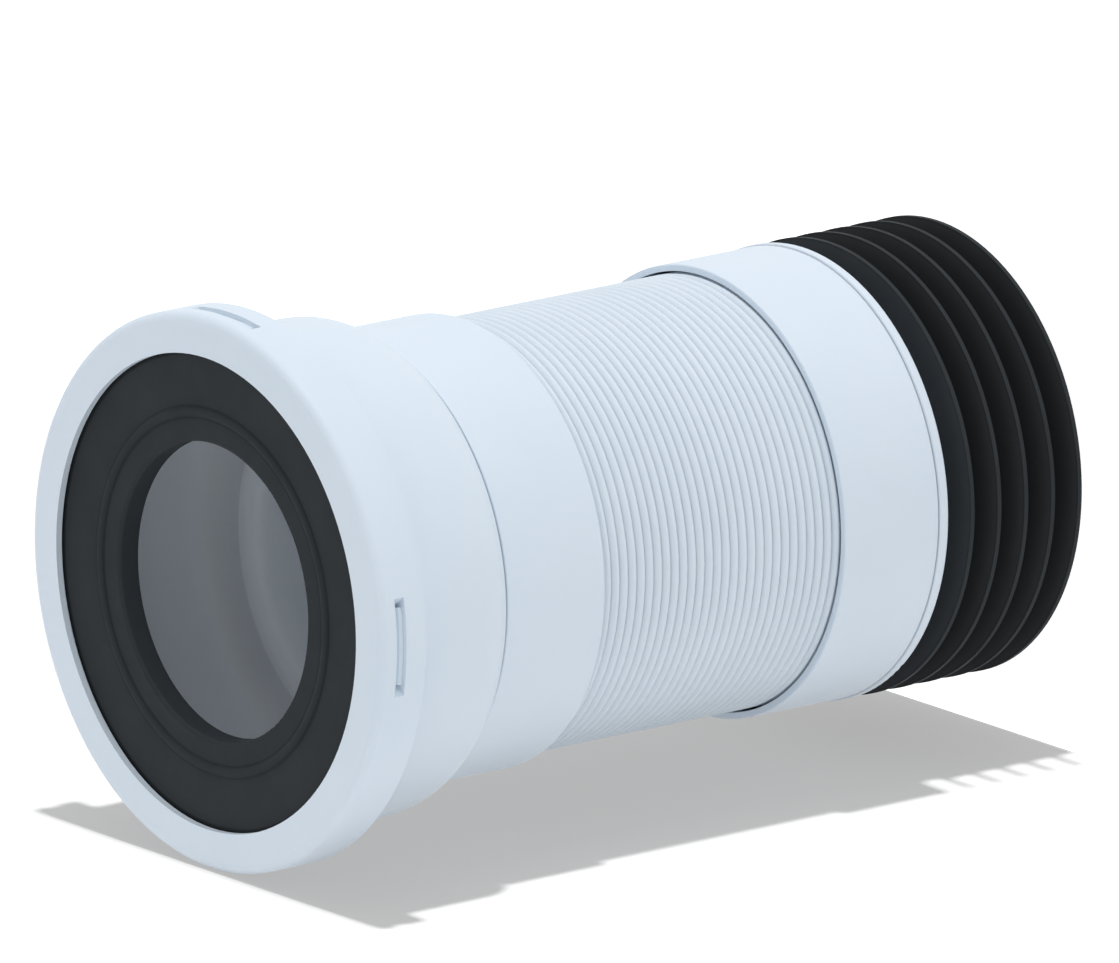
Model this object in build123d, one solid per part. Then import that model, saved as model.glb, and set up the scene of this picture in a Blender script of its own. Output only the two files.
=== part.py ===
from build123d import *
import math
import os

# Flexible toilet pan connector, standing on its outlet end.
# Units are millimetres, +Z is up, the axis is Z and Z = 0 is the outlet end.
# Outlines are (radius, height) points in the XZ plane, turned about Z.

# Fits and clearances
push_fit = 0.15            # between a sleeve and the spigot or seat that it is pushed on
end_gap = 0.15             # between the end of a sleeve and the step that it stops at
cap_gap = 0.2              # between the cap's skirt and the socket's rim
hook_gap = 0.25            # between the foot of a snap hook's ramp and its window
catch_gap = 0.05           # between a hook's square side and the edge that it holds
hook_end_gap = 0.4         # between the ends of a hook and the foot of the window's slopes
collar_crease = 0.6        # open joint between the front collar and the socket
fold_gap = 0.3             # between the tube's end and the floor of its pocket

# Waste way and corrugated tube
bore_radius = 43.0
spigot_wall = 2.0
spigot_length = 24.0       # spigot that enters the tube, beyond its seat
spigot_lead = 1.0          # lead-in chamfer at the spigot's free end
tube_end_wall = 0.9        # plain ends of the tube
crest_land = 1.4
crest_web = 1.7            # radial thickness of the wall at a crest
fold_web = 3.0             # radial thickness of the wall at an inner fold
pleat_pitch = 2.6636
exposed_length = 74.8      # pleats that show between the two collars
hidden_length = 6.3        # pleats that run on inside each collar, at least

# Collars over the tube's ends
collar_inset = 0.4         # outside of the collars behind the fins' tips
collar_wall = 1.7
collar_gap = 0.6           # between a collar and the crests
collar_seat = 6.0          # length of the rim that a collar is pushed on
seat_wall = 2.15
collar_edge = 0.4
collar_lead = 1.5          # rounded edge of the front collar, over the tube
rear_collar_length = 29.7
front_collar_length = 31.6

# Outlet spigot and finned seal
fin_radius = 57.4          # seals in the socket of a 110 mm soil pipe
fin_height = 9.9
fin_land = 1.2
fin_draft = 0.2            # thickening of each side, from the land to the root
fin_root = 2.2             # root radius on the side towards the drain
fin_pitch = 8.5
fin_count = 5
fin_lead = 6.0             # from the outlet end to the first land
last_fin_gap = 6.55        # from the last land to the stop flange
seal_tail = 0.55           # sleeve beyond the last land
seal_wall = 1.55
seal_lip = 2.0             # rubber that closes round the end of the spigot
outlet_wall = 2.8
flange_thickness = 3.05    # stop flange, as high as the fins
flange_edge = 0.3
flange_lead = 1.3          # rounded edge of the flange, over the fins
flange_root = 2.8

# Inlet socket
socket_step = 5.5          # socket radius over collar radius
socket_wall = 3.2
shoulder_radius = 12.0
shoulder_plate = 3.5
bore_entry = 5.0           # rounding of the bore's edge in the socket's floor
floor_land = 0.2           # flat floor that this rounding leaves at least
socket_length = 24.9       # straight side between the shoulder and the cap
rim_step = 4.1             # rim radius over socket radius
rim_height = 7.1
rim_wall = 2.4
seal_groove_depth = 4.5

# Retaining cap
cap_wall = 3.2
cap_depth = 13.8
cap_front = 2.2
cap_lip = 10.2             # radial width of the front
cap_edge = 2.3
lip_relief = 0.5           # bevel under the inner edge of the front
window_count = 4
window_width = 25.0        # straight across, at the outside of the cap
window_height = 2.95
window_setback = 4.75      # from the front of the cap
hook_height = 2.2
hook_width = 19.0          # round the rim
hook_land = 1.2            # behind the ramp

# Inlet cuff
cuff_thickness = 2.2
cuff_hole_radius = 37.4
cuff_hole_edge = 1.0
cuff_hole_depth = 5.9      # thick rim round the hole
cuff_rim_width = 4.1
cuff_rim_taper = 2.0
bead_radius = 44.9         # middle of the raised bead
bead_width = 2.8
bead_height = 0.6

# Radii of the outlet and the tube, from the fins inwards
flange_radius = fin_radius
collar_radius = fin_radius - collar_inset
collar_bore = collar_radius - collar_wall
crest_radius = collar_bore - collar_gap
seat_radius = collar_bore - push_fit
seat_bore = seat_radius - seat_wall
seal_radius = fin_radius - fin_height
seal_bore = seal_radius - seal_wall
outlet_radius = seal_bore - push_fit
outlet_bore = outlet_radius - outlet_wall

# Radii of the spigots and the tube's folds, from the waste way outwards
spigot_radius = bore_radius + spigot_wall
fold_radius = spigot_radius + push_fit
tube_end_radius = fold_radius + tube_end_wall

# Radii of the inlet, from the collars outwards
socket_radius = collar_radius + socket_step
socket_bore = socket_radius - socket_wall
rim_radius = socket_radius + rim_step
skirt_bore = rim_radius + cap_gap
cap_radius = skirt_bore + cap_wall
cap_hole_radius = cap_radius - cap_lip

# Heights, from the outlet end upwards
top_land = fin_lead + (fin_count - 1) * fin_pitch + fin_land
flange_bottom = top_land + last_fin_gap
flange_top = flange_bottom + flange_thickness
seal_top = top_land + seal_tail
rear_collar_top = flange_top + rear_collar_length
front_collar_bottom = rear_collar_top + exposed_length
shoulder_bottom = front_collar_bottom + front_collar_length
shoulder_angle = math.acos(1 - socket_step / shoulder_radius)
shoulder_top = shoulder_bottom + shoulder_radius * math.sin(shoulder_angle)
cap_bottom = shoulder_top + socket_length
cap_top = cap_bottom + cap_depth
cuff_face = cap_top - cap_front
rim_top = cuff_face - cuff_thickness
rim_bottom = rim_top - rim_height
socket_floor = shoulder_top - (shoulder_radius - socket_wall)
tube_stop = socket_floor - shoulder_plate


def outline(*points):
    """Closed face through (radius, height) points, in the XZ plane."""
    return Plane.XZ * make_face(Polyline(*points, close=True))


def turned(face, arc=360.0):
    """Solid turned about Z, centred on the XZ plane when it is less than a full turn."""
    solid = revolve(face, Axis.Z, arc)
    if arc < 360.0:
        solid = Rot(0, 0, -arc / 2) * solid
    return solid


def corners(face, *points):
    """Corners of a face at the given (radius, height) points."""
    return [
        min(face.vertices(), key=lambda corner: (corner.center() - Vector(radius, 0, height)).length)
        for radius, height in points
    ]


def round_the_axis(solid, count):
    """Copies of a solid, evenly spaced about Z."""
    return [Rot(0, 0, 360.0 * step / count) * solid for step in range(count)]


def make_finned_seal():
    """Rubber sleeve with a ring of fins, which grips the inside of the soil pipe."""
    points = [
        (outlet_bore, 0),
        (seal_radius, 0),
    ]
    roots = []
    for fin in range(fin_count):
        land = fin_lead + fin * fin_pitch
        roots.append((seal_radius, land - fin_draft))
        points.append(roots[-1])
        points.append((fin_radius, land))
        points.append((fin_radius, land + fin_land))
        points.append((seal_radius, land + fin_land + fin_draft))
    points += [
        (seal_radius, seal_top),
        (seal_bore, seal_top),
        (seal_bore, seal_lip),
        (outlet_bore, seal_lip),
    ]
    face = outline(*points)
    return turned(fillet(corners(face, *roots), fin_root))


def make_outlet_spigot():
    """Rigid outlet: tail for the seal, stop flange, collar rim and inner spigot."""
    tube_spigot_top = flange_top + spigot_length
    face = outline(
        (outlet_bore, seal_lip + end_gap),
        (outlet_radius, seal_lip + end_gap),
        (outlet_radius, flange_bottom),
        (flange_radius, flange_bottom),
        (flange_radius, flange_top),
        (seat_radius, flange_top),
        (seat_radius, flange_top + collar_seat),
        (seat_bore, flange_top + collar_seat),
        (seat_bore, flange_top),
        (spigot_radius, flange_top),
        (spigot_radius, tube_spigot_top),
        (bore_radius, tube_spigot_top),
        (bore_radius, flange_top),
        (outlet_bore, flange_bottom),
    )
    face = fillet(corners(face, (outlet_radius, flange_bottom)), flange_root)
    face = fillet(corners(face, (flange_radius, flange_bottom)), flange_lead)
    face = fillet(corners(face, (flange_radius, flange_top)), flange_edge)
    face = chamfer(corners(face, (spigot_radius, tube_spigot_top)), spigot_lead)
    return turned(face)


def make_corrugated_tube():
    """Thin pleated tube with a plain end on each spigot."""
    pleats_bottom = rear_collar_top - hidden_length
    pleat_count = math.ceil((exposed_length + 2 * hidden_length) / pleat_pitch)
    pleats_top = pleats_bottom + pleat_count * pleat_pitch
    outer_fold = fold_radius + fold_web
    inner_crest = crest_radius - crest_web
    lower_end = flange_top + fold_gap
    upper_end = tube_stop - fold_gap
    outside = [(tube_end_radius, lower_end), (tube_end_radius, pleats_bottom)]
    inside = [(fold_radius, lower_end)]
    for pleat in range(pleat_count):
        fold = pleats_bottom + pleat * pleat_pitch
        crest = fold + pleat_pitch / 2
        if pleat > 0:
            outside.append((outer_fold, fold))
        outside.append((crest_radius, crest - crest_land / 2))
        outside.append((crest_radius, crest + crest_land / 2))
        inside.append((fold_radius, fold))
        inside.append((inner_crest, crest))
    outside += [(tube_end_radius, pleats_top), (tube_end_radius, upper_end)]
    inside += [(fold_radius, pleats_top), (fold_radius, upper_end)]
    return turned(outline(*outside, *reversed(inside)))


def make_collar(bottom, top, bottom_edge):
    """Plain sleeve that covers one end of the corrugated tube."""
    face = outline(
        (collar_bore, bottom),
        (collar_radius, bottom),
        (collar_radius, top),
        (collar_bore, top),
    )
    face = fillet(corners(face, (collar_radius, bottom)), bottom_edge)
    return turned(fillet(corners(face, (collar_radius, top)), collar_edge))


def make_snap_hook():
    """Ramp on the socket's rim, square on the side that holds the cap."""
    hook_top = cap_top - window_setback - hook_gap
    hook_bottom = cap_top - window_setback - window_height + catch_gap
    root = rim_radius - rim_wall / 2
    face = outline(
        (root, hook_bottom),
        (rim_radius + hook_height, hook_bottom),
        (rim_radius + hook_height, hook_bottom + hook_land),
        (rim_radius, hook_top),
        (root, hook_top),
    )
    return turned(face, math.degrees(hook_width / rim_radius))


def make_inlet_socket():
    """Rigid socket for the pan's outlet, with its rim, shoulder and inner spigot."""
    tube_spigot_bottom = tube_stop - spigot_length
    seat_bottom = shoulder_bottom - collar_seat
    groove_bottom = rim_top - seal_groove_depth
    groove_inside = socket_bore + rim_wall
    groove_outside = rim_radius - rim_wall
    arc_centre = (socket_radius - shoulder_radius, shoulder_top)
    outer_arc = CenterArc(arc_centre, shoulder_radius, -math.degrees(shoulder_angle),
                          math.degrees(shoulder_angle))
    inner_arc = CenterArc(arc_centre, shoulder_radius - socket_wall, 0, -90)
    flare = CenterArc((rim_radius, rim_bottom - rim_step), rim_step, 180, -90)
    outer_wall = Line(outer_arc @ 1, flare @ 0)
    rim = Polyline(
        flare @ 1,
        (rim_radius, rim_top),
        (groove_outside, rim_top),
        (groove_outside, groove_bottom),
        (groove_inside, groove_bottom),
        (groove_inside, rim_top),
        (socket_bore, rim_top),
        inner_arc @ 0,
    )
    spigot = Polyline(
        inner_arc @ 1,
        (bore_radius, socket_floor),
        (bore_radius, tube_spigot_bottom),
        (spigot_radius - spigot_lead, tube_spigot_bottom),
        (spigot_radius, tube_spigot_bottom + spigot_lead),
        (spigot_radius, tube_stop),
        (seat_bore, tube_stop),
        (seat_bore, seat_bottom),
        (seat_radius, seat_bottom),
        (seat_radius, shoulder_bottom),
        outer_arc @ 0,
    )
    face = Plane.XZ * make_face([outer_arc, outer_wall, flare, rim, inner_arc, spigot])
    entry = min(bore_entry, arc_centre[0] - bore_radius - floor_land)
    face = fillet(corners(face, (bore_radius, socket_floor)), entry)
    return turned(face) + round_the_axis(make_snap_hook(), window_count)


def make_inlet_cuff():
    """Rubber ring clamped under the cap, which grips the pan's outlet."""
    back = rim_top
    rib_inside = socket_bore + rim_wall + cap_gap
    rib_outside = rim_radius - rim_wall - cap_gap
    rib_bottom = rim_top - seal_groove_depth + fold_gap
    bead = ThreePointArc(
        (bead_radius - bead_width / 2, cuff_face),
        (bead_radius, cuff_face + bead_height),
        (bead_radius + bead_width / 2, cuff_face),
    )
    hole_bottom = cuff_face - cuff_hole_depth
    rim_outside = cuff_hole_radius + cuff_rim_width
    body = Polyline(
        bead @ 1,
        (rim_radius, cuff_face),
        (rim_radius, back),
        (rib_outside, back),
        (rib_outside, rib_bottom),
        (rib_inside, rib_bottom),
        (rib_inside, back),
        (rim_outside + cuff_rim_taper, back),
        (rim_outside, hole_bottom),
        (cuff_hole_radius, hole_bottom),
        (cuff_hole_radius, cuff_face),
        bead @ 0,
    )
    face = Plane.XZ * make_face([bead, body])
    return turned(fillet(corners(face, (cuff_hole_radius, cuff_face)), cuff_hole_edge))


def make_window():
    """Opening for a snap hook, whose two ends slope down to the ends of the hook."""
    floor_width = hook_width + 2 * hook_end_gap
    outer = Vector(math.sqrt(cap_radius ** 2 - window_width ** 2 / 4), window_width / 2)
    inner = Vector(math.sqrt(skirt_bore ** 2 - floor_width ** 2 / 4), floor_width / 2)
    slope = outer - inner
    corner_out = outer + slope
    corner_in = inner - slope
    face = make_face(Polyline(
        (corner_in.X, -corner_in.Y),
        (corner_out.X, -corner_out.Y),
        (corner_out.X, corner_out.Y),
        (corner_in.X, corner_in.Y),
        close=True,
    ))
    window_bottom = cap_top - window_setback - window_height
    return Pos(0, 0, window_bottom) * extrude(face, window_height, dir=(0, 0, 1))


def make_retaining_cap():
    """Cap that snaps over the socket's rim and clamps the cuff."""
    face = outline(
        (cap_hole_radius, cuff_face),
        (skirt_bore, cuff_face),
        (skirt_bore, cap_bottom),
        (cap_radius, cap_bottom),
        (cap_radius, cap_top),
        (cap_hole_radius, cap_top),
    )
    face = fillet(corners(face, (cap_radius, cap_top)), cap_edge)
    face = chamfer(corners(face, (cap_hole_radius, cuff_face)), lip_relief)
    return turned(face) - round_the_axis(make_window(), window_count)


pieces = {
    "finned_seal": make_finned_seal(),
    "outlet_spigot": make_outlet_spigot(),
    "rear_collar": make_collar(flange_top + end_gap, rear_collar_top, collar_edge),
    "corrugated_tube": make_corrugated_tube(),
    "front_collar": make_collar(front_collar_bottom, shoulder_bottom - collar_crease, collar_lead),
    "inlet_socket": make_inlet_socket(),
    "inlet_cuff": make_inlet_cuff(),
    "retaining_cap": make_retaining_cap(),
}

os.makedirs("parts", exist_ok=True)
for name, piece in pieces.items():
    piece.label = name
    export_step(piece, f"parts/{name}.step")
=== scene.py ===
import math

import bpy
from mathutils import Matrix, Vector


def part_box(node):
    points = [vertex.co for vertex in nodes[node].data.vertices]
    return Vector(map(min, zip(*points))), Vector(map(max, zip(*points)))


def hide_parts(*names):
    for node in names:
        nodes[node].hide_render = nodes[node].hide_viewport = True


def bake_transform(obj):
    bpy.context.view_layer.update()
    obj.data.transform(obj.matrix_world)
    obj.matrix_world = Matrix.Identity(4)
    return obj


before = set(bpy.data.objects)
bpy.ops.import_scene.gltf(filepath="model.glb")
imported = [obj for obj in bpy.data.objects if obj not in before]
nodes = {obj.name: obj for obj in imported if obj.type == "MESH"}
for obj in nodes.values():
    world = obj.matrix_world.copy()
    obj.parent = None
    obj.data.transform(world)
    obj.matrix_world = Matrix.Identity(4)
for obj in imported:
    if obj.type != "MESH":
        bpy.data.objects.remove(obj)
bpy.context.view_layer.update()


# Camera
# A long lens, as the picture is close to a parallel view. The part stands on its outlet and the
# picture shows it lying down, so the camera is rolled: its up is close to the part's +X.

camera_right = Vector((0.0, -0.62, -0.7846))
camera_up = Vector((0.9659, 0.2031, -0.1605))
camera_back = Vector((0.2588, -0.7578, 0.5989))
mouth_centre = Vector((0, 0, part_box("retaining_cap")[1].z))
aim = mouth_centre + camera_right * 0.08737 + camera_up * 0.02792
middle_depth = 0.070        # the lens is set for the middle of the part, so both ends fit evenly
view_width = 0.2759
lens = 1400
distance = view_width * lens / 36

bpy.ops.object.camera_add()
camera = bpy.context.object
camera.name = "camera"
camera.data.lens = lens
camera.data.sensor_width = 36
camera.data.clip_start = 1
camera.data.clip_end = 30
camera.data.dof.use_dof = False
camera.location = aim + camera_back * (distance - middle_depth)
camera.rotation_euler = Matrix((camera_right, camera_up, camera_back)).transposed().to_euler()
bpy.context.scene.camera = camera
bpy.context.scene.view_settings.view_transform = "Standard"


# Floor and backdrop
# A pale floor under the outlet end, and a pale backdrop just behind the cap's rim, which the
# part's shadow falls on. The backdrop shows on its front only, so it hides nothing from behind.

def pale_ground(name, colour, glow, bounced):
    """A matt ground that is clear from behind. Its glow is the least that its shadows show, and
    bounced is the share of its light that reaches the part."""
    material = bpy.data.materials.new(name)
    material.use_nodes = True
    tree = material.node_tree
    tree.nodes.clear()
    output = tree.nodes.new("ShaderNodeOutputMaterial")
    light_path = tree.nodes.new("ShaderNodeLightPath")
    share = tree.nodes.new("ShaderNodeMapRange")
    share.inputs["To Min"].default_value = bounced
    share.inputs["To Max"].default_value = 1
    tree.links.new(light_path.outputs["Is Camera Ray"], share.inputs["Value"])
    matt = tree.nodes.new("ShaderNodeBsdfDiffuse")
    glowing = tree.nodes.new("ShaderNodeEmission")
    for amount, socket in ((colour, matt.inputs["Color"]), (glow, glowing.inputs["Strength"])):
        scaled = tree.nodes.new("ShaderNodeMath")
        scaled.operation = "MULTIPLY"
        scaled.inputs[1].default_value = amount
        tree.links.new(share.outputs["Result"], scaled.inputs[0])
        tree.links.new(scaled.outputs["Value"], socket)
    both = tree.nodes.new("ShaderNodeAddShader")
    tree.links.new(matt.outputs["BSDF"], both.inputs[0])
    tree.links.new(glowing.outputs["Emission"], both.inputs[1])
    geometry = tree.nodes.new("ShaderNodeNewGeometry")
    clear = tree.nodes.new("ShaderNodeBsdfTransparent")
    one_sided = tree.nodes.new("ShaderNodeMixShader")
    tree.links.new(geometry.outputs["Backfacing"], one_sided.inputs["Fac"])
    tree.links.new(both.outputs["Shader"], one_sided.inputs[1])
    tree.links.new(clear.outputs["BSDF"], one_sided.inputs[2])
    tree.links.new(one_sided.outputs["Shader"], output.inputs["Surface"])
    return material


def ground_plane(name, size, place, turn):
    bpy.ops.object.select_all(action="DESELECT")
    bpy.ops.mesh.primitive_plane_add(size=size, location=place, rotation=turn)
    plane = bpy.context.object
    plane.name = name
    bpy.ops.object.transform_apply(location=True, rotation=True, scale=True)
    return plane


cap_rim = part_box("retaining_cap")[0].x
floor = ground_plane("floor", 4.0, (0, 0, -0.0002), (0, 0, 0))
floor.data.materials.append(pale_ground("pale_floor", 0.80, 0.92, 0.60))
floor.visible_diffuse = False
floor.visible_shadow = False
backdrop = ground_plane("backdrop", 1.4, (cap_rim - 0.0002, 0, 0.7), (0, math.radians(90), 0))
backdrop.data.materials.append(pale_ground("pale_backdrop", 0.125, 0.415, 0.86))
backdrop.visible_glossy = False
backdrop.visible_transmission = False


# Light
# An even pale surround and a broad lamp straight above the lying part. A second lamp, above too,
# lights the backdrop alone, and gives it the part's clear shadow.

def add_lamp(name, energy, angle, turn):
    bpy.ops.object.light_add(type="SUN", rotation=turn)
    lamp = bpy.context.object
    lamp.name = name
    lamp.data.energy = energy
    lamp.data.angle = math.radians(angle)
    return lamp


from_above = (0, math.radians(90), 0)
add_lamp("lamp", 1.00, 40, from_above)
ground_lamp = add_lamp("ground_lamp", 14.0, 3, from_above)
lit_ground = bpy.data.collections.new("lit_ground")
lit_ground.objects.link(backdrop)
ground_lamp.light_linking.receiver_collection = lit_ground

world = bpy.data.worlds.new("surround")
bpy.context.scene.world = world
world.use_nodes = True
tree = world.node_tree
tree.nodes.clear()
output = tree.nodes.new("ShaderNodeOutputWorld")
direction = tree.nodes.new("ShaderNodeTexCoord")
split = tree.nodes.new("ShaderNodeSeparateXYZ")
shade = tree.nodes.new("ShaderNodeMapRange")
shade.inputs["From Min"].default_value = -1
shade.inputs["From Max"].default_value = 1
shade.inputs["To Min"].default_value = 0.81
shade.inputs["To Max"].default_value = 0.61
surround = tree.nodes.new("ShaderNodeBackground")
white = tree.nodes.new("ShaderNodeBackground")
light_path = tree.nodes.new("ShaderNodeLightPath")
seen = tree.nodes.new("ShaderNodeMath")
seen.operation = "ADD"
seen_through = tree.nodes.new("ShaderNodeMath")
seen_through.operation = "ADD"
seen_through.use_clamp = True
background = tree.nodes.new("ShaderNodeMixShader")
tree.links.new(direction.outputs["Generated"], split.inputs["Vector"])
tree.links.new(split.outputs["Z"], shade.inputs["Value"])
tree.links.new(shade.outputs["Result"], surround.inputs["Strength"])
tree.links.new(light_path.outputs["Is Camera Ray"], seen.inputs[0])
tree.links.new(light_path.outputs["Is Glossy Ray"], seen.inputs[1])
tree.links.new(seen.outputs["Value"], seen_through.inputs[0])
tree.links.new(light_path.outputs["Is Transmission Ray"], seen_through.inputs[1])
tree.links.new(seen_through.outputs["Value"], background.inputs["Fac"])
tree.links.new(surround.outputs["Background"], background.inputs[1])
tree.links.new(white.outputs["Background"], background.inputs[2])
tree.links.new(background.outputs["Shader"], output.inputs["Surface"])
surround.inputs["Color"].default_value = (1, 1, 1, 1)
white.inputs["Color"].default_value = (1, 1, 1, 1)


# Outlet spigot, collars and inlet socket
# Rigid white polypropylene mouldings with a smooth, slightly glossy skin. The collars are pushed
# on the rims of the spigot and the socket, over the two ends of the tube.

def noise(tree, place, scale, detail=2.0):
    texture = tree.nodes.new("ShaderNodeTexNoise")
    texture.inputs["Scale"].default_value = scale
    texture.inputs["Detail"].default_value = detail
    tree.links.new(place.outputs["Object"], texture.inputs["Vector"])
    return texture


def spread(tree, texture, low, high):
    between = tree.nodes.new("ShaderNodeMapRange")
    between.inputs["From Min"].default_value = 0.35
    between.inputs["From Max"].default_value = 0.65
    between.inputs["To Min"].default_value = low
    between.inputs["To Max"].default_value = high
    tree.links.new(texture.outputs["Fac"], between.inputs["Value"])
    return between


def moulded(name, pale, deep, roughness, gloss_level, ior, grain_size, grain_depth,
            patch_size=0.04):
    """A moulded skin: slow colour drift, patchy gloss and a fine grain, sizes in metres."""
    material = bpy.data.materials.new(name)
    material.use_nodes = True
    tree = material.node_tree
    skin = tree.nodes["Principled BSDF"]
    place = tree.nodes.new("ShaderNodeTexCoord")
    drift = spread(tree, noise(tree, place, 1 / patch_size), 0, 1)
    colour = tree.nodes.new("ShaderNodeMix")
    colour.data_type = "RGBA"
    colour.inputs["A"].default_value = (*pale, 1)
    colour.inputs["B"].default_value = (*deep, 1)
    tree.links.new(drift.outputs["Result"], colour.inputs["Factor"])
    tree.links.new(colour.outputs["Result"], skin.inputs["Base Color"])
    gloss = spread(tree, noise(tree, place, 3 / patch_size, 4), *roughness)
    tree.links.new(gloss.outputs["Result"], skin.inputs["Roughness"])
    skin.inputs["Specular IOR Level"].default_value = gloss_level
    skin.inputs["IOR"].default_value = ior
    grain = tree.nodes.new("ShaderNodeBump")
    grain.inputs["Strength"].default_value = 0.5
    grain.inputs["Distance"].default_value = grain_depth
    tree.links.new(noise(tree, place, 1 / grain_size, 3).outputs["Fac"], grain.inputs["Height"])
    tree.links.new(grain.outputs["Normal"], skin.inputs["Normal"])
    return material


def tint_by_radius(material, stops, outside=None):
    """Tints the colour by the distance from the axis. The stops are (radius in metres, tint).
    Where an outside tint is given, faces that look away from the axis take that one."""
    widest = 0.08
    tree = material.node_tree
    base = tree.nodes["Principled BSDF"].inputs["Base Color"]
    untinted = base.links[0].from_socket
    clearly_outward = 0.01      # metres out from the axis, times how far the face turns that way
    place = tree.nodes.new("ShaderNodeTexCoord")
    across = tree.nodes.new("ShaderNodeVectorMath")
    across.operation = "MULTIPLY"
    across.inputs[1].default_value = (1, 1, 0)
    radius = tree.nodes.new("ShaderNodeVectorMath")
    radius.operation = "LENGTH"
    share = tree.nodes.new("ShaderNodeMapRange")
    share.inputs["From Max"].default_value = widest
    bands = tree.nodes.new("ShaderNodeValToRGB")
    for number, (distance_out, tint) in enumerate(stops):
        position = distance_out / widest
        if number < 2:      # a new ramp has its first two stops
            stop = bands.color_ramp.elements[number]
            stop.position = position
        else:
            stop = bands.color_ramp.elements.new(position)
        stop.color = (*tint, 1)
    tinted = tree.nodes.new("ShaderNodeMix")
    tinted.data_type = "RGBA"
    tinted.blend_type = "MULTIPLY"
    tinted.inputs["Factor"].default_value = 1
    tree.links.new(place.outputs["Object"], across.inputs[0])
    tree.links.new(across.outputs["Vector"], radius.inputs[0])
    tree.links.new(radius.outputs["Value"], share.inputs["Value"])
    tree.links.new(share.outputs["Result"], bands.inputs["Fac"])
    tree.links.new(untinted, tinted.inputs["A"])
    tree.links.new(bands.outputs["Color"], tinted.inputs["B"])
    tree.links.new(tinted.outputs["Result"], base)
    if outside is None:
        return
    outward = tree.nodes.new("ShaderNodeVectorMath")
    outward.operation = "DOT_PRODUCT"
    looks_out = tree.nodes.new("ShaderNodeMath")
    looks_out.operation = "GREATER_THAN"
    looks_out.inputs[1].default_value = clearly_outward
    chosen = tree.nodes.new("ShaderNodeMix")
    chosen.data_type = "RGBA"
    chosen.inputs["B"].default_value = (*outside, 1)
    tree.links.new(across.outputs["Vector"], outward.inputs[0])
    tree.links.new(place.outputs["Normal"], outward.inputs[1])
    tree.links.new(outward.outputs["Value"], looks_out.inputs[0])
    tree.links.new(looks_out.outputs["Value"], chosen.inputs["Factor"])
    tree.links.new(bands.outputs["Color"], chosen.inputs["A"])
    tree.links.new(chosen.outputs["Result"], tinted.inputs["B"])


def dress(node, material):
    for slot in nodes[node].material_slots:
        slot.material = material


white_plastic = moulded("white_moulded_plastic", (0.729, 0.822, 0.921), (0.710, 0.807, 0.906),
                        (0.42, 0.54), 0.35, 1.49, 0.0006, 0.000008)
for piece in ("rear_collar", "front_collar"):
    dress(piece, white_plastic)

# Inside, painted light and shade by the distance from the axis: the bore and its rounded entry
# are painted a little paler than the socket's wall and floor, the floor is darkened with painted
# shade, and a narrow pale ring on the entry is a painted highlight.
painted_light_and_shade_plastic = moulded("white_painted_light_and_shade_plastic", (0.830, 0.880, 0.940), (0.810, 0.865, 0.925),
                        (0.42, 0.54), 0.35, 1.49, 0.0006, 0.000008)
tint_by_radius(painted_light_and_shade_plastic, (
    (0.0432, (1.00, 1.00, 1.00)),
    (0.0445, (0.82, 0.85, 0.86)),
    (0.0477, (0.91, 0.92, 0.92)),
    (0.0481, (0.80, 0.80, 0.81)),
    (0.0530, (0.82, 0.82, 0.83)),
    (0.0565, (0.84, 0.84, 0.84)),
    (0.0590, (0.925, 0.93, 0.925)),
), (0.880, 0.934, 0.975))
for piece in ("outlet_spigot", "inlet_socket"):
    dress(piece, painted_light_and_shade_plastic)


# Corrugated tube
# A thin white flexible tube, blown with deep round pleats. Its plain ends are glued on the inner
# spigots, out of sight in the collars.

round_segments = 104
pleat_pitch = 0.0026636
pleat_count = 33
crest_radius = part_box("corrugated_tube")[1].x
fold_radius = 0.0463
end_radius = 0.0459
tube_wall = 0.0005
crest_half_width = 0.00128
crest_height = 0.00105
fold_half_width = 0.00022
fold_lift = 0.00015         # rise from the middle of a fold to its sides
end_taper = 0.02            # share of a plain end in which the fold narrows to it
collar_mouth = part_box("rear_collar")[1].z
hidden_pleats = 0.0063      # length of the pleats that run on inside the rear collar
pleats_low = collar_mouth - hidden_pleats
pleats_high = pleats_low + pleat_count * pleat_pitch
tube_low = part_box("corrugated_tube")[0].z
tube_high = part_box("corrugated_tube")[1].z
same_place = 1e-5           # vertices nearer than this are one


def add_ring(mesh_radius, height, last):
    """Extrudes the selected ring of edges to a new radius and height."""
    old_radius, old_height = last
    bpy.ops.mesh.extrude_edges_move(
        TRANSFORM_OT_translate={"value": (0, 0, height - old_height)})
    scale = mesh_radius / old_radius
    bpy.ops.transform.resize(value=(scale, scale, 1), center_override=(0, 0, height))
    return mesh_radius, height


def select_ring(mesh, height):
    """Selects the vertices at one height."""
    bpy.ops.mesh.select_all(action="DESELECT")
    bpy.ops.object.mode_set(mode="OBJECT")
    for vertex in mesh.vertices:
        vertex.select = abs(vertex.co.z - height) < same_place
    bpy.ops.object.mode_set(mode="EDIT")


bpy.ops.object.select_all(action="DESELECT")
bpy.ops.mesh.primitive_circle_add(vertices=round_segments, radius=fold_radius,
                                  location=(0, 0, pleats_low))
tube = bpy.context.object
tube.name = "pleated_tube"
bpy.ops.object.transform_apply(location=True)
bpy.ops.object.mode_set(mode="EDIT")
bpy.ops.mesh.select_mode(type="VERT")
bpy.ops.mesh.select_all(action="SELECT")
crest_middle = pleats_low + pleat_pitch / 2
crest_steps = 10
ring = (fold_radius, pleats_low)
ring = add_ring(fold_radius + fold_lift, pleats_low + fold_half_width, ring)
for step in range(crest_steps + 1):
    across = 2 * step / crest_steps - 1
    ring = add_ring(crest_radius - crest_height * across ** 2,
                    crest_middle + crest_half_width * across, ring)
ring = add_ring(fold_radius + fold_lift, pleats_low + pleat_pitch - fold_half_width, ring)
ring = add_ring(fold_radius, pleats_low + pleat_pitch, ring)
bpy.ops.object.mode_set(mode="OBJECT")

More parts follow.
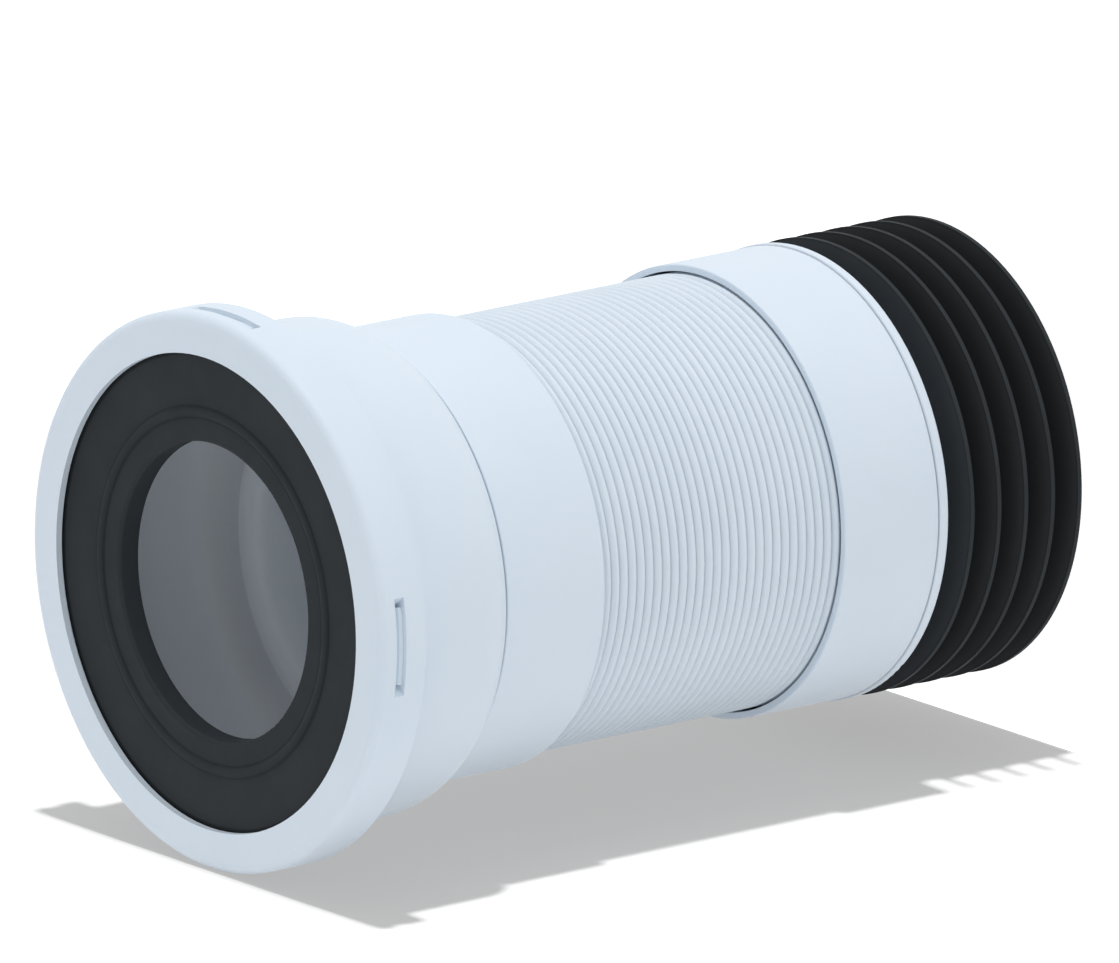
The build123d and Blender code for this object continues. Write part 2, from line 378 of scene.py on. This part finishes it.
pleats = tube.modifiers.new("pleats", "ARRAY")
pleats.count = pleat_count
pleats.use_relative_offset = False
pleats.use_constant_offset = True
pleats.constant_offset_displace = (0, 0, pleat_pitch)
pleats.use_merge_vertices = True
pleats.merge_threshold = same_place
bpy.ops.object.modifier_apply(modifier="pleats")

bpy.ops.object.mode_set(mode="EDIT")
for start, stop in ((pleats_low, tube_low), (pleats_high, tube_high)):
    select_ring(tube.data, start)
    ring = add_ring(end_radius, start + (stop - start) * end_taper, (fold_radius, start))
    ring = add_ring(end_radius, stop, ring)
bpy.ops.mesh.select_all(action="SELECT")
bpy.ops.mesh.normals_make_consistent(inside=False)
bpy.ops.object.mode_set(mode="OBJECT")

wall = tube.modifiers.new("wall", "SOLIDIFY")
wall.thickness = tube_wall
wall.offset = -1
bpy.ops.object.modifier_apply(modifier="wall")
bpy.ops.object.shade_smooth_by_angle(angle=math.radians(50))

white_flexible = moulded("white_flexible_plastic", (0.806, 0.829, 0.915), (0.782, 0.809, 0.895),
                         (0.46, 0.58), 0.35, 1.47, 0.0008, 0.000008)
# Painted shade in the folds: below the crests the pleats are painted darker and greyer, and the
# crests lose a little red.
tint_by_radius(white_flexible, (
    (0.0525, (0.90, 0.90, 0.87)),
    (0.0545, (0.92, 1.00, 1.00)),
))
tube.data.materials.append(white_flexible)
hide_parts("corrugated_tube")
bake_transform(tube)


# Finned seal and inlet cuff
# Black moulded rubber: a sleeve with five fins, stretched over the outlet spigot, and a ring that
# the cap clamps on the socket's rim. Both have the dull, slightly dusty skin of new rubber.

# Painted light: the fins' faces, in the shade between the fins, are painted paler than their
# lands.
seal_rubber = moulded("seal_rubber", (0.045, 0.049, 0.054), (0.042, 0.046, 0.051),
                      (0.60, 0.70), 0.10, 1.50, 0.0004, 0.000010, 0.03)
tint_by_radius(seal_rubber, (
    (0.0566, (1.00, 1.00, 1.00)),
    (0.0571, (0.70, 0.75, 0.75)),
))
dress("finned_seal", seal_rubber)

# Painted light and shade: the wall of the cuff's hole is painted paler than the face, and the
# bead's two feet and the cuff's edge under the cap are painted darker, as painted shade in these
# creases.
cuff_rubber = moulded("cuff_rubber", (0.042, 0.048, 0.053), (0.039, 0.045, 0.050),
                      (0.60, 0.70), 0.10, 1.50, 0.0004, 0.000010, 0.03)
tint_by_radius(cuff_rubber, (
    (0.0374, (1.00, 1.00, 1.00)),
    (0.0380, (0.69, 0.71, 0.71)),
    (0.0429, (0.66, 0.68, 0.68)),
    (0.0434, (0.40, 0.41, 0.41)),
    (0.0440, (0.66, 0.68, 0.68)),
    (0.0458, (0.66, 0.68, 0.68)),
    (0.0463, (0.44, 0.45, 0.45)),
    (0.0469, (0.66, 0.68, 0.68)),
    (0.0490, (0.69, 0.71, 0.71)),
    (0.0588, (0.69, 0.71, 0.71)),
    (0.0592, (0.28, 0.28, 0.28)),
))
dress("inlet_cuff", cuff_rubber)


# Retaining cap
# A white polypropylene ring that snaps over the socket's rim. Its four windows hold the hooks.

# Painted light: the cut walls of the windows are painted a little paler and greyer than the skin,
# against the shade inside the windows.
cap_skin_tint = (0.812, 0.898, 0.984)
cap_plastic = moulded("white_cap_plastic", (0.900, 0.920, 0.940), (0.877, 0.903, 0.926),
                      (0.42, 0.54), 0.35, 1.49, 0.0006, 0.000008)
tint_by_radius(cap_plastic, (
    (0.0682, cap_skin_tint),
    (0.0684, (0.88, 0.945, 1.00)),
), cap_skin_tint)
dress("retaining_cap", cap_plastic)
